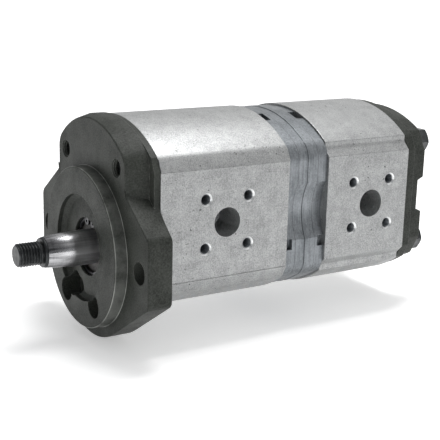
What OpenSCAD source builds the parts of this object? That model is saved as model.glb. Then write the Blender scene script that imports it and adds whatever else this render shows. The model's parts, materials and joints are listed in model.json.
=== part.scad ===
// Tandem external gear pump with a two-bolt pilot flange and a tapered drive shaft.
// Frame: origin on the shaft axis in the plane of the mounting face. The shaft points to -X,
// the pump bodies follow to +X, the pressure ports open to -Y, and +Z is up.

/* [Mounting flange] */
// Pilot diameter
pilot_d = 82.55; // [80:0.05:101.6]
// Pilot height in front of the mounting face
pilot_h = 6.35; // [5:0.05:10]
// Distance between the two flange holes
flange_span = 106.4; // [100:0.1:146]
// Flange hole diameter
flange_hole_d = 11.1; // [9:0.1:14.3]
// Front cover thickness behind the mounting face
cover_t = 14.7; // [12:0.1:20]
// Ear thickness
ear_t = 13.2; // [10:0.1:18]
// Half of the flange width, measured over the ears
ear_half = 62; // [58:0.5:66]

/* [Bodies] */
// Length of the front body
front_len = 74.6; // [50:0.1:100]
// Thickness of each middle plate
plate_t = 12.5; // [10:0.1:16]
// Length of the rear body
rear_len = 55; // [40:0.1:90]
// Rear cover thickness
rear_cover_t = 16.7; // [12:0.1:22]
// Half of the body width over the port pads
pad_half = 46.65; // [44:0.05:50]
// Height of the body top above the shaft axis
body_top = 66.6; // [62:0.1:70]
// Radius of the rounded body top and bottom
crown_r = 70; // [60:1:90]

/* [Shaft] */
// Shaft diameter at the bearings and at the large end of the taper
shaft_d = 18; // [16:0.5:20]
// Length of the taper, which narrows one in five
taper_len = 15; // [12:0.5:20]
// Distance of the shaft end from the mounting face
shaft_out = 40; // [36:0.5:45]
// Thread diameter at the shaft end
thread_d = 12; // [10:1:14]

/* [Gears] */
// Number of teeth on every gear
teeth = 12; // [10:1:14]
// Gear module
gear_m = 2.75; // [2.5:0.25:3]
// Distance between the two gear axes of a section
gear_cd = 34.5; // [33:0.25:36]
// Tip diameter of every gear
tip_d = 39; // [37:0.1:40]
// Play between the flanks of two meshing teeth
backlash = 0.3; // [0.1:0.05:0.4]
// Length of each bearing block
block_t = 19.5; // [17:0.5:22]

/* [Ports] */
// Pressure port bore
press_d = 15; // [12:0.5:20]
// Bolt circle around the pressure port
press_pcd = 35; // [30:0.5:40]
// Suction port bore
suct_d = 20; // [15:0.5:25]
// Bolt circle around the suction port
suct_pcd = 40; // [35:0.5:46]

/* [Tie bolts] */
// Tie bolt diameter
bolt_d = 8; // [8:1:10]
// Sideways offset of the tie bolts
bolt_y = 29.1; // [28:0.1:32]
// Height offset of the tie bolts from the body centre
bolt_z = 28.35; // [26:0.05:30]

/* [Hidden] */
$fn = 96;

zc = gear_cd/2;
x_body1 = cover_t;
x_plate1 = x_body1 + front_len;
x_plate2 = x_plate1 + plate_t;
x_body2 = x_plate2 + plate_t;
x_cover2 = x_body2 + rear_len;
x_end = x_cover2 + rear_cover_t;
port_x1 = x_body1 + front_len/2 + 0.45;
port_x2 = x_body2 + rear_len/2 + 2.4;
shaft_r = shaft_d/2;
shoulder_z = 45.4;
shoulder_in = 3.35;
shoulder_up = 6.4;
cove_r = 3.2;
run_gap = 0.05;
side_gap = 0.05;
bore_r = tip_d/2 + run_gap;
bush_r = shaft_r + 1.25;
taper_x = -12;
tip_x = -shaft_out;
seal_r = 15;
recess_r = 27.4;
recess_x = -2.1;
pad_step = 0.3;
pad_rise = 27.7;

// involute tooth data at the working centre distance
base_r = gear_m*teeth/2*cos(20);
work_a = acos(2*base_r/gear_cd);
function inv_deg(a) = tan(a)*180/PI - a;
half_work = 90/teeth - backlash*90/PI/gear_cd;
half_base = half_work + inv_deg(work_a);
root_r = gear_cd - tip_d/2 - 0.55;
function flank_a(r) = half_base - inv_deg(acos(min(1, base_r/r)));
flank_n = 5;
function flank_r(i) = base_r + 0.02 + (tip_d/2 - base_r - 0.02)*i/flank_n;

// ---- helpers -------------------------------------------------------------

// extrudes a drawing made in the YZ plane from x0 to x1
module slab(x0, x1) translate([x0, 0, 0]) rotate([90, 0, 90]) linear_extrude(x1 - x0) children();

// round bar along X
module bar(x0, x1, r, y = 0, z = 0) translate([x0, y, z]) rotate([0, 90, 0]) cylinder(h = x1 - x0, r = r);

// cone along X
module taper(x0, x1, ra, rb, y = 0, z = 0)
  translate([x0, y, z]) rotate([0, 90, 0]) cylinder(h = x1 - x0, r1 = ra, r2 = rb);

// runs its children at the four tie bolt positions
module at_bolts() for (s = [-1, 1], t = [-1, 1]) translate([0, s*bolt_y, zc + t*bolt_z]) children();

// overlap of two large circles: the crowned top and bottom of a body of height top
module crowns(top) intersection() {
  translate([0, top - crown_r]) circle(crown_r, $fn = 240);
  translate([0, 2*zc - top + crown_r]) circle(crown_r, $fn = 240);
}

// closed drawing from one corner list, repeated in the four quarters around the body centre
module four_way(q) {
  n = len(q) - 1;
  translate([0, zc]) polygon(concat(
    [for (i = [0:n]) q[i]], [for (i = [n:-1:0]) [-q[i][0], q[i][1]]],
    [for (i = [0:n]) [-q[i][0], -q[i][1]]], [for (i = [n:-1:0]) [q[i][0], -q[i][1]]]));
}

// body outline: crowned top and bottom, flat sides, slanted shoulders
module body_outline(side = pad_half, top = body_top) {
  rise = shoulder_z - zc - (body_top - top);
  intersection() {
    crowns(top);
    four_way([[side, rise], [side - 4*shoulder_in, rise + 4*shoulder_up]]);
  }
}

// rear body outline: the crown ends in a short wall and a cove above the port pad
module coved_outline() {
  wall = pad_half - 4.05;
  foot = shoulder_z - 0.5 - zc;
  mid = foot + pad_half - wall + cove_r*(sqrt(2) - 1);
  difference() {
    intersection() {
      crowns(body_top);
      four_way([[pad_half, foot], [wall + cove_r*(1 - sqrt(0.5)), mid - cove_r*sqrt(0.5)],
        [wall, mid], [wall, body_top]]);
    }
    for (s = [-1, 1], t = [-1, 1]) translate([s*(wall + cove_r), zc + t*mid]) circle(cove_r);
  }
}

// figure-of-eight drawing used for the gear chamber and the bearing blocks
module eight(r) { circle(r); translate([0, gear_cd]) circle(r); }

// long ring around both gear bores
module stadium(r) { circle(r); translate([0, gear_cd]) circle(r);
  translate([-r, 0]) square([2*r, gear_cd]); }
module seal_ring() difference() { stadium(23.4); stadium(21); }

// axial balance seal on the back of a bearing block: two joined half rings
module balance_ring() difference() {
  eight(18.4);
  eight(16.2);
  translate([2.5, -30]) square([30, 100]);
}

// tooth outline of one gear; the first tooth points to +Y of the drawing
module gear_outline() {
  pts = [for (k = [0:teeth - 1]) let (c = 90 + k*360/teeth)
    each concat(
      [[root_r, c - half_base - 2.2], [base_r + 0.02, c - half_base]],
      [for (i = [1:flank_n]) [flank_r(i), c - flank_a(flank_r(i))]],
      [for (i = [flank_n:-1:1]) [flank_r(i), c + flank_a(flank_r(i))]],
      [[base_r + 0.02, c + half_base], [root_r, c + half_base + 2.2]])];
  polygon([for (p = pts) p[0]*[cos(p[1]), sin(p[1])]]);
}

// gear with two journals, centred on the axis through z
module gear_shaft(g0, g1, j0, j1, z, turn) {
  translate([0, 0, z]) {
    slab(g0, g1) rotate(turn) gear_outline();
    bar(j0 + 0.8, g0, shaft_r);
    taper(j0, j0 + 0.8, shaft_r - 0.8, shaft_r);
    bar(g1, j1 - 0.8, shaft_r);
    taper(j1 - 0.8, j1, shaft_r, shaft_r - 0.8);
  }
}

// flat drive tang
module tang(x0, x1, turn) rotate([turn, 0, 0]) translate([x0, -4, -7.5]) cube([x1 - x0, 8, 15]);

// bearing block with two bush bores, a seal groove on its back and relief scallops at its face
module block(x0, back) {
  x1 = x0 + block_t - 0.1;
  gx = back < 0 ? x0 : x1;
  difference() {
    slab(x0, x1) eight(bore_r - 0.05);
    bar(x0 - 1, x1 + 1, bush_r);
    bar(x0 - 1, x1 + 1, bush_r, 0, gear_cd);
    if (back < 0) slab(x0 - 1, x0 + 1.6) balance_ring();
    else slab(x1 - 1.6, x1 + 1) balance_ring();
    for (s = [-1, 1]) translate([back < 0 ? x1 - 1.2 : x0 - 1, s*10.2 - 3.2, zc - 4])
      cube([2.2, 6.4, 8]);
  }
}

// four-bolt port: bore, inner passage and tapped holes, drilled from the pad on side s
module port_cut(x, s, d, pcd, inner_d) translate([x, 0, zc]) rotate([s < 0 ? 90 : -90, 0, 0]) {
  translate([0, 0, pad_half - 20]) cylinder(h = 21, d = d);
  translate([0, 0, 6]) cylinder(h = pad_half - 25, d = inner_d);
  for (a = [45:90:315]) rotate(a) translate([pcd/2, 0, 0]) {
    translate([0, 0, pad_half - 13]) cylinder(h = 14, r = 2.5);
    translate([0, 0, pad_half - 14.4]) cylinder(h = 1.4, r1 = 0.1, r2 = 2.5);
    translate([0, 0, pad_half - 0.9]) cylinder(h = 0.91, r1 = 2.5, r2 = 3.41);
  }
}

// bolt and dowel clearance holes through a body or a plate
module tie_holes(x0, x1) at_bolts() bar(x0 - 1, x1 + 1, bolt_d/2 + 0.5);
module dowel_holes(x) for (s = [-1, 1]) bar(x - 5.2, x + 5.2, 2.5, s*32, zc);

// ---- castings ------------------------------------------------------------

// corner centres of the arch and of the ears, and the points where straight lines touch them
arch_half = 38.3;
arch_r = 54;
arch_z = 11.7;
corner_r = 10;
corner_y = arch_half - corner_r;
corner_z = arch_z + sqrt((arch_r - corner_r)^2 - corner_y^2);
arch_foot = [arch_half, 34.2];
slant_n = [0.585, 0.811];
ear_r = 5;
ear_top = [ear_half - ear_r, arch_foot[1]
  - (ear_r + slant_n[0]*(ear_half - ear_r - arch_half))/slant_n[1]];
foot_r = 4;
belly_r = 47;
belly_n = [cos(57), -sin(57)];
ear_low = [ear_half - foot_r, (belly_r - foot_r - belly_n[0]*(ear_half - foot_r))/belly_n[1]];
nook_r = 5;
nook = arch_foot + [nook_r, nook_r*(1 - slant_n[0])/slant_n[1]];

// flange ears: slanted tops, rounded corners and tangent lines down to a round belly
module ear_outline() difference() {
  union() {
    circle(belly_r);
    for (s = [-1, 1]) scale([s, 1]) {
      polygon([[0, nook[1]], [arch_half, nook[1]], nook - nook_r*slant_n, ear_top + ear_r*slant_n,
        ear_top, [ear_half, ear_top[1]], [ear_half, ear_low[1]], ear_low,
        ear_low + foot_r*belly_n, belly_r*belly_n, [0, -30]]);
      translate(ear_top) circle(ear_r);
      translate(ear_low) circle(foot_r);
    }
  }
  for (s = [-1, 1]) translate([s*nook[0], nook[1]]) circle(nook_r);
  translate([-belly_r, nook[1]]) square([2*belly_r, belly_r]);
}

// arch above the pilot, drafted outward to the rear: coned crown and corners, slanted sides
draft = 3.2;
draft_x = 11.6;
blend = 0.05;
module arch() intersection() {
  union() {
    intersection() {
      taper(0, draft_x, arch_r, arch_r + draft, 0, arch_z);
      slab(0, draft_x) polygon([[0, arch_z], [2*corner_y, 2*corner_z - arch_z],
        [-2*corner_y, 2*corner_z - arch_z]]);
    }
    for (s = [-1, 1])
      taper(0, draft_x, corner_r + blend, corner_r + draft + blend, s*corner_y, corner_z);
    linear_extrude(corner_z) polygon([[0, -arch_half], [draft_x, -arch_half - draft],
      [draft_x, arch_half + draft], [0, arch_half]]);
  }
  slab(-1, cover_t) crowns(body_top + 0.6);
}

// ring sector with round ends, sunk into the recess wall
module kidney(r, half, a0, a1) {
  difference() {
    intersection() {
      circle(r + half);
      polygon([[0, 0], 2*r*[sin(a0), -cos(a0)], 2*r*[sin(a1), -cos(a1)]]);
    }
    circle(r - half);
  }
  for (a = [a0, a1]) translate(r*[sin(a), -cos(a)]) circle(half);
}

module front_cover() color("DimGray") difference() {
  union() {
    bar(-pilot_h + 0.6, 0, pilot_d/2);
    taper(-pilot_h, -pilot_h + 0.6, pilot_d/2 - 0.6, pilot_d/2);
    arch();
    slab(0, ear_t) ear_outline();
    slab(draft_x - 0.2, cover_t) body_outline(pad_half - 0.4, body_top);
  }
  // recess around the seal: straight wall, coned foot and flat floor
  bar(-pilot_h - 1, -4.1, recess_r);
  taper(-4.11, recess_x, recess_r, recess_r - 2.4);
  bar(-pilot_h - 1, 8.6, seal_r);
  bar(0, cover_t + 1, shaft_r + 0.6);
  // two lobes and a deep kidney pocket below the shaft
  for (s = [-1, 1]) bar(-pilot_h - 1, s > 0 ? 4.5 : -1.2, 6.2, s*16.2, -26.4);
  slab(-pilot_h - 1, 4.5) kidney(24.6, 4.6, 20, 32);
  // circlip groove
  bar(-0.6, 0.9, seal_r + 1);
  // journal relief of the driven gear
  bar(cover_t - 1.5, cover_t + 1, shaft_r + 0.6, 0, gear_cd);
  // flange holes
  for (s = [-1, 1]) bar(-1, ear_t + 6, flange_hole_d/2, s*flange_span/2, 0);
  // tie bolt threads: open above, blind below
  for (s = [-1, 1]) {
    bar(-1, cover_t + 1, bolt_d/2, s*bolt_y, zc + bolt_z);
    taper(-0.01, 0.75, bolt_d/2 + 0.75, bolt_d/2, s*bolt_y, zc + bolt_z);
    bar(2.5, cover_t + 1, bolt_d/2, s*bolt_y, zc - bolt_z);
  }
  slab(cover_t - 1.8, cover_t + 1) seal_ring();
  dowel_holes(x_body1);
}

// gear body: its outline as the child, two gear bores, bolt and dowel holes and four-bolt ports
module shell(x0, x1, px) difference() {
  slab(x0, x1) children();
  slab(x0 - 1, x1 + 1) eight(bore_r);
  tie_holes(x0, x1);
  port_cut(px, -1, press_d, press_pcd, press_d - 1);
  port_cut(px, 1, suct_d, suct_pcd, suct_d - 4);
  dowel_holes(x0);
  dowel_holes(x1);
}

// the milled port pads lie a little below the raw extruded sides
module front_body() color("Silver") difference() {
  shell(x_body1, x_plate1, port_x1) body_outline(pad_half + pad_step);
  for (s = [-1, 1]) translate([x_body1 - 1, s > 0 ? pad_half : -pad_half - 2, zc - pad_rise])
    cube([front_len + 2, 2, 2*pad_rise]);
}

module rear_body() color("Silver") shell(x_body2, x_cover2, port_x2) coved_outline();

// middle plate outline: the crown runs into rounded shoulders; a shallow round waist on each side
module plate_outline(inset = 0) {
  half = plate_half - inset;
  waist_r = (waist_h^2 + waist_in^2)/2/waist_in;
  crown_z = plate_top - inset - crown_r;
  lean = atan2(half - plate_r, plate_corner - crown_z);
  meet = [crown_r*sin(lean), crown_z + crown_r*cos(lean) - zc];
  difference() {
    union() {
      intersection() {
        crowns(plate_top - inset);
        four_way([[half, plate_corner - zc], meet, [0, 2*body_top]]);
      }
      for (s = [-1, 1], t = [-1, 1])
        translate([s*(half - plate_r), zc + t*(plate_corner - zc)]) circle(plate_r);
    }
    for (s = [-1, 1]) translate([s*(half - waist_in + waist_r), zc]) circle(waist_r);
  }
}
plate_half = 45.5;
plate_top = 65.8;
plate_corner = 43.5;
plate_r = 11.5;
waist_h = 15;
waist_in = 4;

// two half shells of a middle plate: the front one steps in a little, which leaves a parting line
module plate_blank(x0) {
  mid = x0 + plate_t*0.52;
  slab(x0, mid) plate_outline();
  slab(mid, x0 + plate_t) plate_outline(0.3);
}

// small pry notches at the edge of a middle plate
module notches(x) for (s = [-1, 1]) {
  translate([x - 4.2, s*18 - 4.3, plate_top - 4.6]) cube([8.4, 8.6, 8]);
  translate([x - 4.2, s > 0 ? plate_half - 3 : -plate_half - 5, -2.6]) cube([8.4, 8, 5.6]);
}

module front_plate() color("SlateGray") difference() {
  plate_blank(x_plate1);
  bar(x_plate1 - 1, x_plate2 + 1, 12.5);
  bar(x_plate1 - 1, x_plate1 + 2, shaft_r + 0.6, 0, gear_cd);
  tie_holes(x_plate1, x_plate2);
  slab(x_plate1 - 1, x_plate1 + 1.8) seal_ring();
  bar(x_plate2 - 1.8, x_plate2 + 1, 17.4);
  dowel_holes(x_plate1);
  dowel_holes(x_plate2);
  notches(x_plate1);
}

module rear_plate() color("SlateGray") difference() {
  plate_blank(x_plate2);
  bar(x_plate2 - 1, x_body2 + 1, 12.5);
  bar(x_body2 - 2, x_body2 + 1, shaft_r + 0.6, 0, gear_cd);
  tie_holes(x_plate2, x_body2);
  slab(x_body2 - 1.8, x_body2 + 1) seal_ring();
  dowel_holes(x_plate2);
  dowel_holes(x_body2);
  notches(x_body2);
}

module rear_cover() color("DimGray") difference() {
  union() {
    slab(x_cover2, x_cover2 + 6) body_outline(45.6, 65.8);
    slab(x_cover2 + 6, x_end) body_outline(42, 63);
  }
  // cross channel in the back
  translate([x_end, 0, zc]) rotate([90, 0, 0]) linear_extrude(120, center = true)
    polygon([[-3.7, -8.2], [1, -10.4], [1, 10.4], [-3.7, 8.2]]);
  for (z = [0, gear_cd]) bar(x_cover2 - 1, x_cover2 + 1.5, shaft_r + 0.6, 0, z);
  tie_holes(x_cover2, x_end);
  slab(x_cover2 - 1, x_cover2 + 1.8) seal_ring();
  dowel_holes(x_cover2);
}

// ---- shaft, gears and coupling --------------------------------------------

module drive_shaft() color("LightSteelBlue") {
  rs = shaft_r - taper_len/10;
  xg0 = x_body1 + block_t + side_gap;
  xg1 = x_plate1 - block_t - side_gap;
  difference() {
    union() {
      taper(tip_x, tip_x + 1, thread_d/2 - 1, thread_d/2);
      bar(tip_x + 1, taper_x - taper_len - 2, thread_d/2);
      bar(taper_x - taper_len - 2, taper_x - taper_len, thread_d/2 - 1);
      taper(taper_x - taper_len, taper_x, rs, shaft_r);
      bar(taper_x, xg0, shaft_r);
      slab(xg0, xg1) gear_outline();
      bar(xg1, x_plate1 - 0.5, shaft_r);
      tang(x_plate1 - 0.5, x_plate1 + 8.7, 0);
    }
    // centre drilling in the shaft end
    taper(tip_x - 0.01, tip_x + 3, 2.2, 0.7);
  }
}

module front_idler() color("LightSteelBlue")
  gear_shaft(x_body1 + block_t + side_gap, x_plate1 - block_t - side_gap,
    x_body1 + 0.4, x_plate1 - 0.4, gear_cd, 180/teeth);

module rear_drive_gear() color("LightSteelBlue") {
  gear_shaft(x_body2 + block_t + side_gap, x_cover2 - block_t - side_gap,
    x_body2 + 0.5, x_cover2 - 0.4, 0, 0);
  tang(x_body2 - 8.7, x_body2 + 0.6, 90);
}

module rear_idler() color("LightSteelBlue")
  gear_shaft(x_body2 + block_t + side_gap, x_cover2 - block_t - side_gap,
    x_body2 + 0.4, x_cover2 - 0.4, gear_cd, 180/teeth);

// floating coupling: a slot at each end, turned a quarter turn from each other
module drive_coupling() color("Gray") difference() {
  bar(x_plate1 + 1.2, x_body2 - 1.2, 11.2);
  translate([x_plate1, -4.06, -20]) cube([9.1, 8.12, 40]);
  translate([x_body2 - 9.1, -20, -4.06]) cube([9.1, 40, 8.12]);
}

// ---- bearing blocks, bushes and seals --------------------------------------

module front_nose_block() color("Tan") block(x_body1, -1);
module front_tail_block() color("Tan") block(x_plate1 - block_t + 0.1, 1);
module rear_nose_block() color("Tan") block(x_body2, -1);
module rear_tail_block() color("Tan") block(x_cover2 - block_t + 0.1, 1);

module bearing_bushes() color("DarkKhaki")
  for (x = [x_body1, x_plate1 - block_t + 0.1, x_body2, x_cover2 - block_t + 0.1], z = [0, gear_cd])
    difference() {
      bar(x + 0.7, x + block_t - 0.8, bush_r, 0, z);
      bar(x - 1, x + block_t + 1, shaft_r + 0.04, 0, z);
    }

module balance_seals() color("Black") {
  for (x = [x_body1, x_body2]) slab(x, x + 1.6) balance_ring();
  for (x = [x_plate1, x_cover2]) slab(x - 1.6, x) balance_ring();
}

module joint_seals() color("Black") {
  slab(x_body1 - 1.8, x_body1) seal_ring();
  slab(x_plate1, x_plate1 + 1.8) seal_ring();
  slab(x_body2 - 1.8, x_body2) seal_ring();
  slab(x_cover2, x_cover2 + 1.8) seal_ring();
}

module coupling_seal() color("Black") difference() {
  bar(x_plate2 - 1.8, x_plate2, 17.4);
  bar(x_plate2 - 3, x_plate2 + 1, 15);
}

// lip seal: outer wall, web and lip drawn as one turned section
module shaft_seal() color("DarkSlateGray") rotate([0, 90, 0]) rotate_extrude()
  polygon([[15, 1.3], [15, 8.3], [12.6, 8.3], [12.6, 3.4], [11.4, 3.4], [10.6, 7.2], [9.4, 7.2],
    [9.05, 6.4], [9.7, 4.6], [9.9, 1.9], [9.1, 1.3]]);

module seal_spring() color("Silver") rotate([0, 90, 0]) rotate_extrude()
  translate([11.55, 6.2]) circle(0.55);

module seal_circlip() color("DarkGray") difference() {
  union() {
    bar(-0.45, 0.75, 15.95);
    for (s = [-1, 1]) bar(-0.45, 0.75, 2.2, s*3.4, 12.6);
  }
  difference() {
    bar(-1, 1.5, 13.7);
    for (s = [-1, 1]) bar(-1, 1.5, 2.2, s*3.4, 12.6);
  }
  translate([-1, -1.4, 8]) cube([3, 2.8, 12]);
  for (s = [-1, 1]) bar(-1, 1.5, 0.8, s*3.4, 12.4);
}

// ---- fasteners --------------------------------------------------------------

module tie_bolts() color("DarkSlateGray") at_bolts() {
  bar(3.2, x_end, bolt_d/2);
  bar(x_end, x_end + 1.6, 8.2);
  translate([x_end + 1.6, 0, 0]) rotate([0, 90, 0]) cylinder(h = 5.6, r = 7.5, $fn = 6);
  taper(x_end + 7.2, x_end + 8.2, 6.4, 5.2);
}

module dowel_pins() color("Silver")
  for (x = [x_body1, x_plate1, x_body2, x_cover2], s = [-1, 1]) bar(x - 5, x + 5, 2.5, s*32, zc);

front_cover();
shaft_seal();
seal_spring();
seal_circlip();
drive_shaft();
front_body();
front_idler();
front_nose_block();
front_tail_block();
front_plate();
drive_coupling();
coupling_seal();
rear_plate();
rear_body();
rear_drive_gear();
rear_idler();
rear_nose_block();
rear_tail_block();
bearing_bushes();
balance_seals();
joint_seals();
rear_cover();
tie_bolts();
dowel_pins();
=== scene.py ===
"""Looks for the tandem gear pump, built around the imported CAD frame."""
import json
import math

import bpy
import bmesh
from mathutils import Matrix, Vector
from mathutils.bvhtree import BVHTree


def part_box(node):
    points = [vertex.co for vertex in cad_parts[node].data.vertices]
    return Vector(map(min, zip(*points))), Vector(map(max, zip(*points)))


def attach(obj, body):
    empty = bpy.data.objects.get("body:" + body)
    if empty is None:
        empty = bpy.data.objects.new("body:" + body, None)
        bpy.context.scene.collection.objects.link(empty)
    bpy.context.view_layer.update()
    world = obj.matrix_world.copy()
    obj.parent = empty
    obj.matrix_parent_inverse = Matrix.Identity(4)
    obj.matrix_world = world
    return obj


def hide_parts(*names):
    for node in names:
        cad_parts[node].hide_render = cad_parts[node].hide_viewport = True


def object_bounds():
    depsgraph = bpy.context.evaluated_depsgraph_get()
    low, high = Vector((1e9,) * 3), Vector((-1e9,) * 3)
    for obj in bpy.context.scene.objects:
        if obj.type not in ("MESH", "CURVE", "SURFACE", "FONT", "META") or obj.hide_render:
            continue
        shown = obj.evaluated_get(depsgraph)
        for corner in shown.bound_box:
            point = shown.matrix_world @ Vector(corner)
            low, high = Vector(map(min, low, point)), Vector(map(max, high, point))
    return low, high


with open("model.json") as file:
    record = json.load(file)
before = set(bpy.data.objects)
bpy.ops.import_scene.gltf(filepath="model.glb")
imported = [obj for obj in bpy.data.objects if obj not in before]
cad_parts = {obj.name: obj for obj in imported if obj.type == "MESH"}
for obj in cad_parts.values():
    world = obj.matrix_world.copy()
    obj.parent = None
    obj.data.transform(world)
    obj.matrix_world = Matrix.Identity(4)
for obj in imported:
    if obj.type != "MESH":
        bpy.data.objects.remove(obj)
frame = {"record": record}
CAD_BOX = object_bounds()
MM = 0.001

# camera: direction it looks from, and how it is framed on the pump
CAM_AZIMUTH = -32.4
CAM_ELEVATION = 14.3
CAM_ROLL = 1.46
CAM_DISTANCE = 0.5147
CAM_PAN = (0.0659, 0.0132)
CAM_LENS = 82.75
SENSOR = 36.0

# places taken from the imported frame, in metres
GEAR_CD = 34.5 * MM
MID_Z = GEAR_CD / 2
PAD_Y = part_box("rear_body")[1][1]
PARTING = 6.5  # mm from the front of a middle plate to its parting line
REAR_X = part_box("rear_cover")[1][0]
PORTS = [m for m in frame["record"]["mounts"] if m["name"].endswith("_port")]
PATTERNS = {m["name"]: m for m in frame["record"]["mounts"] if m["name"].endswith("_bolts")}
MOUNTS = {m["name"]: m for m in frame["record"]["mounts"]}
PILOT_R = MOUNTS["pilot"]["dims"]["r_mm"]  # mm
EAR_HOLE_Y = MOUNTS["flange_holes"]["dims"]["spacing_x_mm"] / 2  # mm

# tie bolts: flange radius and rows of the four bolts around the body's middle
WASHER_R = 8.2 * MM
BOLT_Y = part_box("tie_bolts")[1][1] - WASHER_R
BOLT_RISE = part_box("tie_bolts")[1][2] - WASHER_R - MID_Z


# ---- camera, floor and lights ----------------------------------------------

def camera_axes():
    """Right, up and back directions of the camera."""
    az, el, roll = (math.radians(a) for a in (CAM_AZIMUTH, CAM_ELEVATION, CAM_ROLL))
    side = Vector((math.cos(az), math.sin(az), 0))
    back = Vector((math.sin(az) * math.cos(el), -math.cos(az) * math.cos(el), math.sin(el)))
    top = back.cross(side)
    right = side * math.cos(roll) + top * math.sin(roll)
    up = top * math.cos(roll) - side * math.sin(roll)
    return right, up, back


def make_camera():
    right, up, back = camera_axes()
    place = CAM_PAN[0] * right + CAM_PAN[1] * up + CAM_DISTANCE * back
    data = bpy.data.cameras.new("camera")
    data.lens = CAM_LENS
    data.sensor_width = SENSOR
    data.clip_start = 0.01
    obj = bpy.data.objects.new("camera", data)
    bpy.context.scene.collection.objects.link(obj)
    axes = Matrix((right, up, back)).transposed().to_4x4()
    obj.matrix_world = Matrix.Translation(place) @ axes
    bpy.context.scene.camera = obj


def make_floor():
    """Large pale floor that glows a little, more so far away, so that it meets the white walls."""
    bm = bmesh.new()
    bmesh.ops.create_grid(bm, x_segments=2, y_segments=2, size=30.0)
    mesh = bpy.data.meshes.new("floor")
    bm.to_mesh(mesh)
    bm.free()
    floor = bpy.data.objects.new("floor", mesh)
    floor.location = (0.08, 0, CAD_BOX[0][2] - 0.0005)
    bpy.context.scene.collection.objects.link(floor)
    mat, tree, bsdf = new_material("floor")
    bsdf.inputs["Base Color"].default_value = (0.95, 0.95, 0.95, 1)
    bsdf.inputs["Roughness"].default_value = 1.0
    bsdf.inputs["Specular IOR Level"].default_value = 0.0
    bsdf.inputs["Emission Color"].default_value = (1, 1, 1, 1)
    length = tree.nodes.new("ShaderNodeVectorMath")
    length.operation = "LENGTH"
    tree.links.new(object_point(tree), length.inputs[0])
    glow = ramp(tree, length.outputs["Value"], 0.4, 2.0, 0.4, 1.0)
    tree.links.new(glow, bsdf.inputs["Emission Strength"])
    mesh.materials.append(mat)


def area_light(name, place, target, size, power):
    data = bpy.data.lights.new(name, "AREA")
    data.shape = "RECTANGLE"
    data.size, data.size_y = size
    data.energy = power
    obj = bpy.data.objects.new(name, data)
    bpy.context.scene.collection.objects.link(obj)
    place = Vector(place)
    turn = (Vector(target) - place).to_track_quat("-Z", "Y")
    obj.matrix_world = Matrix.Translation(place) @ turn.to_matrix().to_4x4()
    return obj


def make_world():
    """Bright ceiling over darker walls, as in a small product studio; darker before the pump."""
    world = bpy.data.worlds.new("studio")
    world.use_nodes = True
    tree = world.node_tree
    back = tree.nodes["Background"]
    coord = tree.nodes.new("ShaderNodeTexCoord")
    split = tree.nodes.new("ShaderNodeSeparateXYZ")
    tree.links.new(coord.outputs["Generated"], split.inputs[0])
    lean = combine(tree, "MULTIPLY", split.outputs["X"], 1.3)
    height = ramp(tree, combine(tree, "ADD", split.outputs["Z"], lean), 0.5, 0.9)
    colour = mix_colour(tree, height, (0.24, 0.245, 0.25), (0.72, 0.72, 0.72))
    path = tree.nodes.new("ShaderNodeLightPath")
    colour = mix_colour(tree, path.outputs["Is Camera Ray"], colour, (1.0, 1.0, 1.0))
    tree.links.new(colour, back.inputs[0])
    back.inputs[1].default_value = 1.1
    bpy.context.scene.world = world
    bpy.context.scene.view_settings.view_transform = "Standard"


def make_lights():
    centre = (0.08, 0, 0.01)
    area_light("key", (0.24, 0.05, 0.9), centre, (0.4, 0.4), 6)
    area_light("front", (-0.8, -0.35, 0.0), centre, (0.4, 0.2), 0.8)


# ---- material helpers --------------------------------------------------------

def new_material(name):
    mat = bpy.data.materials.new(name)
    mat.use_nodes = True
    return mat, mat.node_tree, mat.node_tree.nodes["Principled BSDF"]


def object_point(tree, scale=(1, 1, 1)):
    """Object coordinates, stretched by scale."""
    coord = tree.nodes.new("ShaderNodeTexCoord")
    mapping = tree.nodes.new("ShaderNodeMapping")
    mapping.inputs["Scale"].default_value = scale
    tree.links.new(coord.outputs["Object"], mapping.inputs["Vector"])
    return mapping.outputs["Vector"]


def noise(tree, point, scale, detail=3.0, rough=0.55):
    node = tree.nodes.new("ShaderNodeTexNoise")
    node.inputs["Scale"].default_value = scale
    node.inputs["Detail"].default_value = detail
    node.inputs["Roughness"].default_value = rough
    tree.links.new(point, node.inputs["Vector"])
    return node.outputs["Fac"]


def ramp(tree, value, low, high, start=0.0, end=1.0):
    """Maps value from low..high to start..end and clamps it."""
    node = tree.nodes.new("ShaderNodeMapRange")
    node.inputs["From Min"].default_value = low
    node.inputs["From Max"].default_value = high
    node.inputs["To Min"].default_value = start
    node.inputs["To Max"].default_value = end
    tree.links.new(value, node.inputs["Value"])
    return node.outputs["Result"]


def mix_colour(tree, share, first, second):
    """Mixes two colours; each is a socket or a plain RGB triple."""
    node = tree.nodes.new("ShaderNodeMix")
    node.data_type = "RGBA"
    tree.links.new(share, node.inputs["Factor"])
    for name, colour in (("A", first), ("B", second)):
        socket = [s for s in node.inputs if s.name == name and s.type == "RGBA"][0]
        if isinstance(colour, tuple):
            socket.default_value = colour + (1,)
        else:
            tree.links.new(colour, socket)
    return [s for s in node.outputs if s.type == "RGBA"][0]


def combine(tree, kind, first, second):
    """Math node on two values; each is a socket or a number."""
    node = tree.nodes.new("ShaderNodeMath")
    node.operation = kind
    for slot, value in zip(node.inputs, (first, second)):
        if isinstance(value, (int, float)):
            slot.default_value = value
        else:
            tree.links.new(value, slot)
    return node.outputs[0]


def weighted(tree, first, a, second, b):
    """a times the first value plus b times the second."""
    return combine(tree, "ADD", combine(tree, "MULTIPLY", first, a), combine(tree, "MULTIPLY", second, b))


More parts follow.
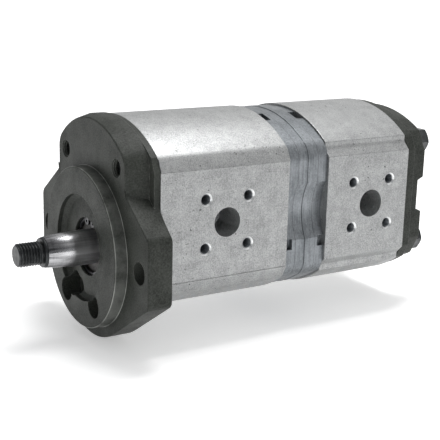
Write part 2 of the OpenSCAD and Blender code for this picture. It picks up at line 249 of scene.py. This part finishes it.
def edge_mask(tree, radius):
    """Near one along convex and concave edges, zero on flat areas."""
    round_normal = tree.nodes.new("ShaderNodeBevel")
    round_normal.samples = 6
    round_normal.inputs["Radius"].default_value = radius
    flat = tree.nodes.new("ShaderNodeNewGeometry")
    dot = tree.nodes.new("ShaderNodeVectorMath")
    dot.operation = "DOT_PRODUCT"
    tree.links.new(round_normal.outputs["Normal"], dot.inputs[0])
    tree.links.new(flat.outputs["Normal"], dot.inputs[1])
    return ramp(tree, dot.outputs["Value"], 0.995, 0.87)


def bump(tree, bsdf, height, strength, distance, soft=0.0):
    """Surface relief; soft is the radius that edges are shaded with."""
    node = tree.nodes.new("ShaderNodeBump")
    if soft:
        rounded = tree.nodes.new("ShaderNodeBevel")
        rounded.samples = 6
        rounded.inputs["Radius"].default_value = soft
        tree.links.new(rounded.outputs["Normal"], node.inputs["Normal"])
    node.inputs["Strength"].default_value = strength
    node.inputs["Distance"].default_value = distance
    tree.links.new(height, node.inputs["Height"])
    tree.links.new(node.outputs["Normal"], bsdf.inputs["Normal"])


def pilot_wear_and_highlight_rings(tree, point):
    """One on the pilot's front chamfer and foot, less on its rim: worn coating plus painted edge
    highlights there.
    """
    split = tree.nodes.new("ShaderNodeSeparateXYZ")
    tree.links.new(point, split.inputs[0])
    flat = tree.nodes.new("ShaderNodeCombineXYZ")
    tree.links.new(split.outputs["Y"], flat.inputs["Y"])
    tree.links.new(split.outputs["Z"], flat.inputs["Z"])
    length = tree.nodes.new("ShaderNodeVectorMath")
    length.operation = "LENGTH"
    tree.links.new(flat.outputs[0], length.inputs[0])
    reach = length.outputs["Value"]
    outer = ramp(tree, reach, (PILOT_R - 0.525) * MM, (PILOT_R - 0.275) * MM)
    front = combine(tree, "MULTIPLY", outer, ramp(tree, split.outputs["X"], -5.75 * MM, -5.95 * MM))
    away = combine(tree, "ABSOLUTE", combine(tree, "SUBTRACT", reach, (PILOT_R + 0.175) * MM), 0)
    ring = ramp(tree, away, 0.32 * MM, 0.12 * MM)
    foot = combine(tree, "MULTIPLY", ring, ramp(tree, split.outputs["X"], -0.4 * MM, -0.2 * MM))
    near = ramp(tree, split.outputs["X"], 0.4 * MM, 0.2 * MM)
    side = combine(tree, "MULTIPLY", ramp(tree, reach, (PILOT_R - 0.175) * MM, (PILOT_R - 0.025) * MM),
                   ramp(tree, split.outputs["X"], -0.3 * MM, -0.6 * MM, 0, 0.3))
    lines = combine(tree, "MAXIMUM", front, combine(tree, "MULTIPLY", foot, near))
    return combine(tree, "MAXIMUM", lines, side)


# ---- materials -----------------------------------------------------------------

def black_iron():
    """Phosphated grey iron: machined faces are smooth, cast sides are grainy, edges are rubbed."""
    mat, tree, bsdf = new_material("black_iron")
    point = object_point(tree)
    cloud = noise(tree, point, 70, 4)
    grain = noise(tree, point, 1300, 2)
    tone = weighted(tree, cloud, 0.5, grain, 0.5)
    colour = mix_colour(tree, ramp(tree, tone, 0.35, 0.65), (0.017, 0.019, 0.016), (0.056, 0.060, 0.053))
    patchy = ramp(tree, noise(tree, point, 260, 3), 0.35, 0.6)
    rub = combine(tree, "MULTIPLY", edge_mask(tree, 0.35 * MM), patchy)
    colour = mix_colour(tree, combine(tree, "MULTIPLY", rub, 0.55), colour, (0.30, 0.31, 0.29))
    # light rings on the pilot: worn coating, and painted highlight along its edges
    finish_and_painted_light = combine(tree, "MULTIPLY", pilot_wear_and_highlight_rings(tree, point), ramp(tree, cloud, 0.35, 0.6, 0.2, 1.0))
    colour = mix_colour(tree, finish_and_painted_light, colour, (0.34, 0.35, 0.33))
    tree.links.new(colour, bsdf.inputs["Base Color"])
    bsdf.inputs["Specular IOR Level"].default_value = 0.15
    tree.links.new(ramp(tree, tone, 0.3, 0.7, 0.55, 0.40), bsdf.inputs["Roughness"])
    bump(tree, bsdf, tone, 0.35, 0.3 * MM, 0.5 * MM)
    return mat


def raw_aluminium():
    """Extruded aluminium: light mottling, pits and faint drawing streaks along the body."""
    mat, tree, bsdf = new_material("raw_aluminium")
    point = object_point(tree)
    streak = noise(tree, object_point(tree, (0.08, 1, 1)), 420, 4)
    cloud = noise(tree, point, 130, 4, 0.6)
    grain = noise(tree, point, 1700, 3, 0.65)
    tone = weighted(tree, cloud, 0.3, grain, 0.7)
    colour = mix_colour(tree, ramp(tree, tone, 0.36, 0.64), (0.24, 0.245, 0.245), (0.46, 0.465, 0.465))
    colour = mix_colour(tree, ramp(tree, streak, 0.5, 0.75, 0, 0.25), colour, (0.26, 0.26, 0.26))
    line = noise(tree, object_point(tree, (1, 1, 0.06)), 1500, 3)
    colour = mix_colour(tree, ramp(tree, line, 0.5, 0.72, 0, 0.35), colour, (0.22, 0.225, 0.225))
    pits = ramp(tree, noise(tree, point, 620, 2, 0.5), 0.34, 0.28)
    patch = ramp(tree, noise(tree, point, 45, 2), 0.42, 0.6)
    colour = mix_colour(tree, combine(tree, "MULTIPLY", pits, patch), colour, (0.05, 0.05, 0.05))
    tree.links.new(colour, bsdf.inputs["Base Color"])
    bsdf.inputs["Metallic"].default_value = 0.85
    tree.links.new(ramp(tree, tone, 0.3, 0.7, 0.52, 0.36), bsdf.inputs["Roughness"])
    bump(tree, bsdf, combine(tree, "SUBTRACT", tone, pits), 0.22, 0.2 * MM)
    return mat


def cut_aluminium():
    """Freshly cut aluminium inside ports and bolt holes, bright with fine turning marks."""
    mat, tree, bsdf = new_material("cut_aluminium")
    line = noise(tree, object_point(tree, (0.3, 1, 0.3)), 2200, 2)
    colour = mix_colour(tree, ramp(tree, line, 0.35, 0.65), (0.62, 0.63, 0.63), (0.88, 0.89, 0.89))
    tree.links.new(colour, bsdf.inputs["Base Color"])
    bsdf.inputs["Metallic"].default_value = 0.9
    tree.links.new(ramp(tree, line, 0.3, 0.7, 0.42, 0.26), bsdf.inputs["Roughness"])
    bump(tree, bsdf, line, 0.2, 0.15 * MM)
    return mat


def plate_aluminium():
    """Bead-blasted die casting, darker than the bodies: faint upright lines, dark parting line."""
    mat, tree, bsdf = new_material("plate_aluminium")
    point = object_point(tree)
    line = noise(tree, object_point(tree, (1, 1, 0.06)), 900, 3)
    cloud = noise(tree, point, 90, 4)
    grain = noise(tree, point, 1200, 2)
    tone = weighted(tree, cloud, 0.4, grain, 0.25)
    tone = combine(tree, "ADD", tone, combine(tree, "MULTIPLY", line, 0.35))
    colour = mix_colour(tree, ramp(tree, tone, 0.38, 0.62), (0.13, 0.142, 0.152), (0.27, 0.285, 0.30))
    split = tree.nodes.new("ShaderNodeSeparateXYZ")
    tree.links.new(point, split.inputs[0])
    for node in ("front_plate", "rear_plate"):
        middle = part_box(node)[0][0] + PARTING * MM
        away = combine(tree, "ABSOLUTE", combine(tree, "SUBTRACT", split.outputs["X"], middle), 0)
        seam = ramp(tree, away, 0.30 * MM, 0.10 * MM, 0, 0.75)
        colour = mix_colour(tree, seam, colour, (0.03, 0.03, 0.033))
    tree.links.new(colour, bsdf.inputs["Base Color"])
    bsdf.inputs["Metallic"].default_value = 0.85
    tree.links.new(ramp(tree, tone, 0.3, 0.7, 0.46, 0.34), bsdf.inputs["Roughness"])
    bump(tree, bsdf, tone, 0.15, 0.15 * MM, 0.35 * MM)
    return mat


def machined_aluminium():
    """Turned aluminium bearing block with fine tool lines."""
    mat, tree, bsdf = new_material("machined_aluminium")
    line = noise(tree, object_point(tree, (1, 0.05, 0.05)), 1500, 2)
    colour = mix_colour(tree, ramp(tree, line, 0.35, 0.65), (0.50, 0.50, 0.48), (0.66, 0.66, 0.64))
    tree.links.new(colour, bsdf.inputs["Base Color"])
    bsdf.inputs["Metallic"].default_value = 1.0
    tree.links.new(ramp(tree, line, 0.3, 0.7, 0.36, 0.24), bsdf.inputs["Roughness"])
    bump(tree, bsdf, line, 0.1, 0.1 * MM)
    return mat


def ground_steel(name, low, high, rough_low, rough_high):
    """Polished steel with fine grinding lines around the axis and long streaks along it."""
    mat, tree, bsdf = new_material(name)
    line = noise(tree, object_point(tree, (1, 0.04, 0.04)), 2600, 3)
    streak = noise(tree, object_point(tree, (0.05, 1, 1)), 260, 3)
    tone = weighted(tree, line, 0.3, streak, 0.7)
    colour = mix_colour(tree, ramp(tree, tone, 0.38, 0.62), low, high)
    tree.links.new(colour, bsdf.inputs["Base Color"])
    bsdf.inputs["Metallic"].default_value = 1.0
    tree.links.new(ramp(tree, tone, 0.35, 0.65, rough_high, rough_low), bsdf.inputs["Roughness"])
    bump(tree, bsdf, line, 0.04, 0.05 * MM)
    return mat


def shaft_steel():
    """Polished taper with long bright and dark streaks, turning duller towards the seal, where its colour
    is painted much lighter against the shade of the bore.
    """
    mat, tree, bsdf = new_material("shaft_steel")
    point = object_point(tree)
    line = noise(tree, object_point(tree, (1, 0.04, 0.04)), 2600, 3)
    streak = noise(tree, object_point(tree, (0.03, 1, 1)), 380, 3)
    tone = weighted(tree, line, 0.15, streak, 0.85)
    split = tree.nodes.new("ShaderNodeSeparateXYZ")
    tree.links.new(point, split.inputs[0])
    # from the tip towards the seal: a rougher finish, and painted light that lifts the colour near the
    # bore
    finish_and_painted_light = ramp(tree, split.outputs["X"], -23 * MM, -4 * MM)
    bright = mix_colour(tree, ramp(tree, tone, 0.40, 0.60), (0.10, 0.10, 0.105), (0.52, 0.52, 0.53))
    # the lighter colour near the seal is painted light against the bore's shade, not the steel's own tone
    dull_and_painted_lighter = mix_colour(tree, ramp(tree, tone, 0.40, 0.60), (0.42, 0.42, 0.43), (0.78, 0.78, 0.79))
    tree.links.new(mix_colour(tree, finish_and_painted_light, bright, dull_and_painted_lighter), bsdf.inputs["Base Color"])
    bsdf.inputs["Metallic"].default_value = 1.0
    gloss = ramp(tree, tone, 0.35, 0.65, 0.20, 0.11)
    rough = combine(tree, "ADD", gloss, combine(tree, "MULTIPLY", finish_and_painted_light, 0.28))
    tree.links.new(rough, bsdf.inputs["Roughness"])
    bump(tree, bsdf, line, 0.03, 0.05 * MM)
    return mat


def black_oxide():
    """Black oxide on bolts and on the shaft thread, rubbed bright along the edges."""
    mat, tree, bsdf = new_material("black_oxide")
    point = object_point(tree)
    cloud = noise(tree, point, 350, 4)
    colour = mix_colour(tree, ramp(tree, cloud, 0.35, 0.65), (0.016, 0.018, 0.019), (0.040, 0.043, 0.045))
    rub = combine(tree, "MULTIPLY", edge_mask(tree, 0.2 * MM), ramp(tree, cloud, 0.4, 0.6))
    colour = mix_colour(tree, combine(tree, "MULTIPLY", rub, 0.3), colour, (0.25, 0.25, 0.25))
    tree.links.new(colour, bsdf.inputs["Base Color"])
    bsdf.inputs["Metallic"].default_value = 0.5
    tree.links.new(ramp(tree, cloud, 0.3, 0.7, 0.42, 0.28), bsdf.inputs["Roughness"])
    bump(tree, bsdf, cloud, 0.12, 0.1 * MM)
    return mat


def bronze():
    """Sintered bronze bush with open grain."""
    mat, tree, bsdf = new_material("bronze")
    grain = noise(tree, object_point(tree), 1400, 3)
    colour = mix_colour(tree, ramp(tree, grain, 0.35, 0.65), (0.36, 0.24, 0.11), (0.58, 0.42, 0.22))
    tree.links.new(colour, bsdf.inputs["Base Color"])
    bsdf.inputs["Metallic"].default_value = 1.0
    tree.links.new(ramp(tree, grain, 0.3, 0.7, 0.5, 0.3), bsdf.inputs["Roughness"])
    bump(tree, bsdf, grain, 0.15, 0.1 * MM)
    return mat


def rubber():
    """Black nitrile rubber with a dull moulded skin."""
    mat, tree, bsdf = new_material("rubber")
    grain = noise(tree, object_point(tree), 900, 4)
    colour = mix_colour(tree, ramp(tree, grain, 0.35, 0.65), (0.012, 0.011, 0.010), (0.032, 0.029, 0.026))
    tree.links.new(colour, bsdf.inputs["Base Color"])
    tree.links.new(ramp(tree, grain, 0.3, 0.7, 0.62, 0.45), bsdf.inputs["Roughness"])
    bump(tree, bsdf, grain, 0.15, 0.1 * MM)
    return mat


# ---- detailed copies of CAD nodes -----------------------------------------------

def cad_mesh(node):
    """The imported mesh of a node, welded and with flat areas joined."""
    bm = bmesh.new()
    bm.from_mesh(bpy.data.objects[node].data)
    bmesh.ops.remove_doubles(bm, verts=bm.verts, dist=0.04 * MM)
    bmesh.ops.dissolve_limit(bm, angle_limit=math.radians(0.3), verts=bm.verts, edges=bm.edges,
                             delimit=set())
    return bm


def weigh_edges(bm, width_at, widest):
    """Marks every sharp edge and gives it a rounding weight from its place."""
    layer = bm.edges.layers.float.new("bevel_weight_edge")
    for edge in bm.edges:
        if len(edge.link_faces) == 2 and edge.calc_face_angle(0) > math.radians(25):
            middle = (edge.verts[0].co + edge.verts[1].co) / 2
            edge[layer] = min(1.0, width_at(middle / MM) / widest)
            edge.smooth = edge[layer] > 0
    for face in bm.faces:
        face.smooth = True


def add_piece(bm, name, body, materials, nodes=()):
    """Turns a bmesh into a piece that rides on a body and stands for CAD nodes."""
    mesh = bpy.data.meshes.new(name)
    bm.to_mesh(mesh)
    bm.free()
    obj = bpy.data.objects.new(name, mesh)
    bpy.context.scene.collection.objects.link(obj)
    for mat in materials:
        mesh.materials.append(mat)
    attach(obj, body)
    for node in nodes:
        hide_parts(node)
    return obj


def round_piece(obj, widest, segments=3):
    """Rounds the weighted edges for good and pulls strays back onto the first surface."""
    bm = bmesh.new()
    bm.from_mesh(obj.data)
    bmesh.ops.triangulate(bm, faces=bm.faces)
    surface = BVHTree.FromBMesh(bm)
    bm.free()
    mod = obj.modifiers.new("rounding", "BEVEL")
    mod.limit_method = "WEIGHT"
    mod.width = widest * MM
    mod.segments = segments
    mod.use_clamp_overlap = False
    done = obj.evaluated_get(bpy.context.evaluated_depsgraph_get())
    mesh = bpy.data.meshes.new_from_object(done)
    obj.modifiers.clear()
    for vert in mesh.vertices:
        near, _, _, distance = surface.find_nearest(vert.co)
        if distance > 0.6 * widest * MM:
            vert.co = near
    obj.data = mesh
    shade = obj.modifiers.new("shading", "WEIGHTED_NORMAL")
    shade.keep_sharp = True


def detail_copy(node, name, material, width_at, widest):
    """Piece made from a CAD node's mesh, with its sharp edges rounded."""
    bm = cad_mesh(node)
    weigh_edges(bm, width_at, widest)
    obj = add_piece(bm, name, "housing", [material], [node])
    round_piece(obj, widest)
    return obj


def front_cover_width(point):
    """Rounding in mm: soft on the casting's outer edges, fine on the pilot, none elsewhere."""
    reach = math.hypot(point.y, point.z)
    if point.x < -0.05:
        return 0.15
    near_bolt = math.hypot(abs(point.y) - BOLT_Y / MM, point.z - (MID_Z + BOLT_RISE) / MM) < 5.5
    near_hole = math.hypot(abs(point.y) - EAR_HOLE_Y, point.z) < 6
    if reach < PILOT_R + 0.325 or near_bolt or near_hole:
        return 0.0
    if point.x < 0.1:
        return 0.55
    return 0.9 if abs(point.y) > 46.5 or point.z < 12 else 0.0


def body_width(point):
    """Rounding in mm: fine at the port pads, none at the bores, more on the outer edges."""
    if abs(point.y) > 40 and abs(point.z - MID_Z / MM) < 27:
        return 0.12
    if math.hypot(point.y, point.z - MID_Z / MM) < 40:
        return 0.0
    return 0.35


def rear_cover_width(point):
    """Rounding in mm: on the outer edges only, away from the bolt holes."""
    if abs(point.y) < 36 and abs(point.z - MID_Z / MM) < 36:
        return 0.0
    return 0.6


def make_covers(iron):
    detail_copy("front_cover", "front_cover_casting", iron, front_cover_width, 0.9)
    detail_copy("rear_cover", "rear_cover_casting", iron, rear_cover_width, 0.9)


def in_port_hole(point):
    """True inside a port bore and on the chamfers of its bolt holes."""
    for port in PORTS:
        hub = Vector(port["pos_m"]) / MM
        if point.y * hub.y < 0 or abs(point.y) < 20:
            continue
        if math.hypot(point.x - hub.x, point.z - hub.z) < port["dims"]["r_mm"] + 0.2:
            return True
        half = PATTERNS[port["name"].replace("_port", "_bolts")]["dims"]["spacing_x_mm"] / 2
        off_x = abs(point.x - hub.x) - half
        off_z = abs(point.z - hub.z) - half
        if 45.6 < abs(point.y) < 46.6 and math.hypot(off_x, off_z) < 3.45:
            return True
    return False


def make_bodies(raw, cast, cut):
    """Aluminium bodies with freshly cut holes; the middle plates keep their CAD mesh."""
    for end in ("front", "rear"):
        obj = detail_copy(f"{end}_body", f"{end}_body_section", raw, body_width, 0.4)
        obj.data.materials.append(cut)
        for face in obj.data.polygons:
            if abs(face.normal.y) < 0.9 and in_port_hole(face.center / MM):
                face.material_index = 1
        paint(f"{end}_plate", cast)


# ---- threads and bolts ---------------------------------------------------------

def tri_wave(t):
    """Triangle wave: 0 at whole numbers, 1 halfway."""
    t = t % 1.0
    return 2 * t if t < 0.5 else 2 - 2 * t


def grid_faces(bm, rings, closed=True):
    """Skins a list of vertex rings."""
    for a, b in zip(rings, rings[1:]):
        n = len(a)
        for i in range(n if closed else n - 1):
            j = (i + 1) % n
            face = bm.faces.new((a[i], a[j], b[j], b[i]))
            face.smooth = True


def shaft_thread(start, end, crest, depth, pitch, around=64, steps=12):
    """Closed threaded rod end along X, with a lead chamfer at the start."""
    bm = bmesh.new()
    rings = []
    count = round((end - start) / pitch * steps)
    for k in range(count + 1):
        x = start + (end - start) * k / count
        lead = min(1.0, max(0.0, (end - x) / pitch)) if end - x < pitch else 1.0
        cap = crest - max(0.0, 1.0 * MM - (x - start))
        ring = []
        for i in range(around):
            turn = i / around
            cut = depth * lead * max(0.0, tri_wave(x / pitch - turn) * 1.15 - 0.15)
            r = min(cap, crest - cut)
            a = 2 * math.pi * turn
            ring.append(bm.verts.new((x, r * math.cos(a), r * math.sin(a))))
        rings.append(ring)
    grid_faces(bm, rings)
    bm.faces.new(rings[0][::-1])
    bm.faces.new(rings[-1])
    bmesh.ops.recalc_face_normals(bm, faces=bm.faces)
    return bm


def hole_thread(bm, centre, axis, side, radius, depth, pitch, top, bottom, around=28, steps=8):
    """Sleeve with thread ridges on the wall of a tapped hole; axis points out of the hole."""
    along = Vector(axis)
    second = along.cross(side)
    count = round((top - bottom) / pitch * steps)
    outer, inner = [], []
    for k in range(count + 1):
        h = bottom + (top - bottom) * k / count
        fade = min(1.0, k / steps, (count - k) / steps)
        ring_out, ring_in = [], []
        for i in range(around):
            a = 2 * math.pi * i / around
            way = side * math.cos(a) + second * math.sin(a)
            ridge = depth * fade * tri_wave(h / pitch - i / around)
            ring_in.append(bm.verts.new(centre + along * h + way * (radius - ridge)))
            ring_out.append(bm.verts.new(centre + along * h + way * (radius + 0.08 * MM)))
        inner.append(ring_in)
        outer.append(ring_out)
    grid_faces(bm, inner)
    grid_faces(bm, outer)
    grid_faces(bm, [inner[0], outer[0]])
    grid_faces(bm, [inner[-1], outer[-1]])


def make_port_threads(material):
    """Thread sleeves in the four tapped holes of every port."""
    for port in PORTS:
        name = port["name"].replace("_port", "")
        pattern = PATTERNS[name + "_bolts"]
        axis = Vector(pattern["axis"])
        half = pattern["dims"]["spacing_x_mm"] * MM / 2
        bm = bmesh.new()
        for sx in (-1, 1):
            for sz in (-1, 1):
                x = pattern["pos_m"][0] + sx * half
                z = pattern["pos_m"][2] + sz * half
                centre = Vector((x, axis.y * PAD_Y, z))
                hole_thread(bm, centre, axis, Vector((1, 0, 0)), 2.5 * MM, 0.42 * MM, 1.0 * MM,
                            -0.8 * MM, -11 * MM)
        bmesh.ops.recalc_face_normals(bm, faces=bm.faces)
        add_piece(bm, name + "_threads", "housing", [material])


def make_cover_threads(material):
    """Thread in the two open tie bolt holes of the front cover."""
    bm = bmesh.new()
    for s in (-1, 1):
        centre = Vector((0, s * BOLT_Y, MID_Z + BOLT_RISE))
        hole_thread(bm, centre, (-1, 0, 0), Vector((0, 1, 0)), 4.0 * MM, 0.6 * MM, 1.25 * MM,
                    -0.5 * MM, -3.2 * MM, 36)
    bmesh.ops.recalc_face_normals(bm, faces=bm.faces)
    add_piece(bm, "cover_threads", "housing", [material])


def hex_head(bm, x0, y, z, flat, height, washer_r, washer_t):
    """Hexagon flange head along +X with a chamfered crown, as stacked rings."""
    around = 72
    profile = []
    corner = flat / math.cos(math.pi / 6)
    levels = [
        (0.0, "round", washer_r - 0.25 * MM), (0.25 * MM, "round", washer_r),
        (washer_t - 0.3 * MM, "round", washer_r), (washer_t, "round", washer_r - 0.5 * MM),
        (washer_t + 0.5 * MM, "hex", 0.35 * MM), (washer_t + 1.0 * MM, "hex", 0.0)]
    rings = []
    for level, kind, value in levels:
        rings.append([(level, kind, value, i) for i in range(around)])
    verts = []
    for ring in rings:
        row = []
        for level, kind, value, i in ring:
            a = 2 * math.pi * i / around
            swing = (a % (math.pi / 3)) - math.pi / 6
            r = value if kind == "round" else flat / math.cos(swing) + value
            row.append(bm.verts.new((x0 + level, y + r * math.cos(a), z + r * math.sin(a))))
        verts.append(row)
    top = washer_t + height
    for share, fall in ((1.0, None), (0.93, 0.25 * MM), (0.86, 0.04 * MM), (0.55, 0.0)):
        row = []
        for i in range(around):
            a = 2 * math.pi * i / around
            swing = (a % (math.pi / 3)) - math.pi / 6
            edge_r = flat / math.cos(swing)
            if fall is None:
                r, drop = edge_r, (edge_r - flat * 0.93) * 0.6
            else:
                r, drop = flat * share, fall
            row.append(bm.verts.new((x0 + top - drop, y + r * math.cos(a), z + r * math.sin(a))))
        verts.append(row)
    grid_faces(bm, verts)
    bm.faces.new(verts[-1])
    bm.faces.new(verts[0][::-1])


def make_bolts(material):
    """Tie bolts: plain CAD shanks with detailed heads behind the rear cover."""
    low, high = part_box("tie_bolts")
    bm = bmesh.new()
    for s in (-1, 1):
        for t in (-1, 1):
            y, z = s * BOLT_Y, MID_Z + t * BOLT_RISE
            hex_head(bm, REAR_X, y, z, 6.5 * MM, high[0] - REAR_X - 1.6 * MM, WASHER_R, 1.6 * MM)
            shank = bmesh.ops.create_cone(bm, cap_ends=True, segments=48, radius1=4 * MM, radius2=4 * MM,
                                          depth=REAR_X - low[0] + 0.5 * MM)["verts"]
            place = Vector(((low[0] + REAR_X + 0.5 * MM) / 2, y, z))
            turn = Matrix.Rotation(math.radians(90), 4, "Y")
            bmesh.ops.transform(bm, matrix=Matrix.Translation(place) @ turn, verts=shank)
    bmesh.ops.recalc_face_normals(bm, faces=bm.faces)
    obj = add_piece(bm, "tie_bolts_hex_flange", "housing", [material], ["tie_bolts"])
    mod = obj.modifiers.new("edges", "EDGE_SPLIT")
    mod.split_angle = math.radians(35)


def turned(profile, around=128):
    """Closed turned body about X from (x, r) points in mm, smooth around the axis."""
    bm = bmesh.new()
    rings = []
    for x, r in profile:
        ring = []
        for i in range(around):
            a = 2 * math.pi * i / around
            ring.append(bm.verts.new((x * MM, r * MM * math.cos(a), r * MM * math.sin(a))))
        rings.append(ring)
    grid_faces(bm, rings)
    bm.faces.new(rings[0][::-1])
    bm.faces.new(rings[-1])
    bmesh.ops.recalc_face_normals(bm, faces=bm.faces)
    return bm


def add_edge_split(obj, angle):
    mod = obj.modifiers.new("edges", "EDGE_SPLIT")
    mod.split_angle = math.radians(angle)


def make_shaft(steel, polished, dark):
    """Drive shaft: the CAD gear end, a turned journal and taper, a dark collar and a real thread."""
    gear_x = 34.25 * MM
    bm = cad_mesh("drive_shaft")
    gone = [f for f in bm.faces if min(v.co.x for v in f.verts) < gear_x - 0.01 * MM]
    bmesh.ops.delete(bm, geom=gone, context="FACES")
    rim = [e for e in bm.edges if len(e.link_faces) == 1]
    bmesh.ops.holes_fill(bm, edges=rim, sides=0)
    gear = add_piece(bm, "drive_shaft_gear", "drive", [steel], ["drive_shaft"])
    add_edge_split(gear, 30)
    journal = [(-25.6, 7.0), (-25.6, 7.72), (-25.5, 7.8), (-12.3, 8.97), (-11.9, 9.0), (34.4, 9.0)]
    add_edge_split(add_piece(turned(journal), "drive_shaft_taper", "drive", [polished]), 40)
    collar = [(-28.3, 5.0), (-27.0, 5.05), (-27.0, 7.2), (-26.7, 7.5), (-25.75, 7.62),
              (-25.6, 7.2), (-25.5, 6.5)]
    add_edge_split(add_piece(turned(collar), "drive_shaft_collar", "drive", [dark]), 40)
    rod = shaft_thread(-40 * MM, -28.2 * MM, 6.0 * MM, 0.92 * MM, 1.5 * MM)
    add_piece(rod, "drive_shaft_thread", "drive", [dark])


def paint(node, material):
    mesh = bpy.data.objects[node].data
    mesh.materials.clear()
    mesh.materials.append(material)


def paint_nodes(choices):
    for material, nodes in choices:
        for node in nodes:
            paint(node, material)


def main():
    make_camera()
    make_floor()
    make_world()
    make_lights()
    iron, raw, cast = black_iron(), raw_aluminium(), plate_aluminium()
    steel = ground_steel("ground_steel", (0.13, 0.13, 0.135), (0.58, 0.58, 0.59), 0.12, 0.22)
    spring = ground_steel("spring_steel", (0.05, 0.05, 0.055), (0.12, 0.12, 0.125), 0.25, 0.40)
    oxide, block, bush, seal = black_oxide(), machined_aluminium(), bronze(), rubber()
    cut = cut_aluminium()
    make_covers(iron)
    make_bodies(raw, cast, cut)
    make_shaft(steel, shaft_steel(), oxide)
    make_bolts(oxide)
    make_port_threads(cast)
    make_cover_threads(iron)
    paint_nodes([
        (seal, ["shaft_seal", "coupling_seal", "balance_seals", "joint_seals"]),
        (spring, ["seal_spring", "seal_circlip", "dowel_pins"]),
        (steel, ["front_idler", "rear_drive_gear", "rear_idler", "drive_coupling"]),
        (block, ["front_nose_block", "front_tail_block", "rear_nose_block", "rear_tail_block"]),
        (bush, ["bearing_bushes"])])


main()
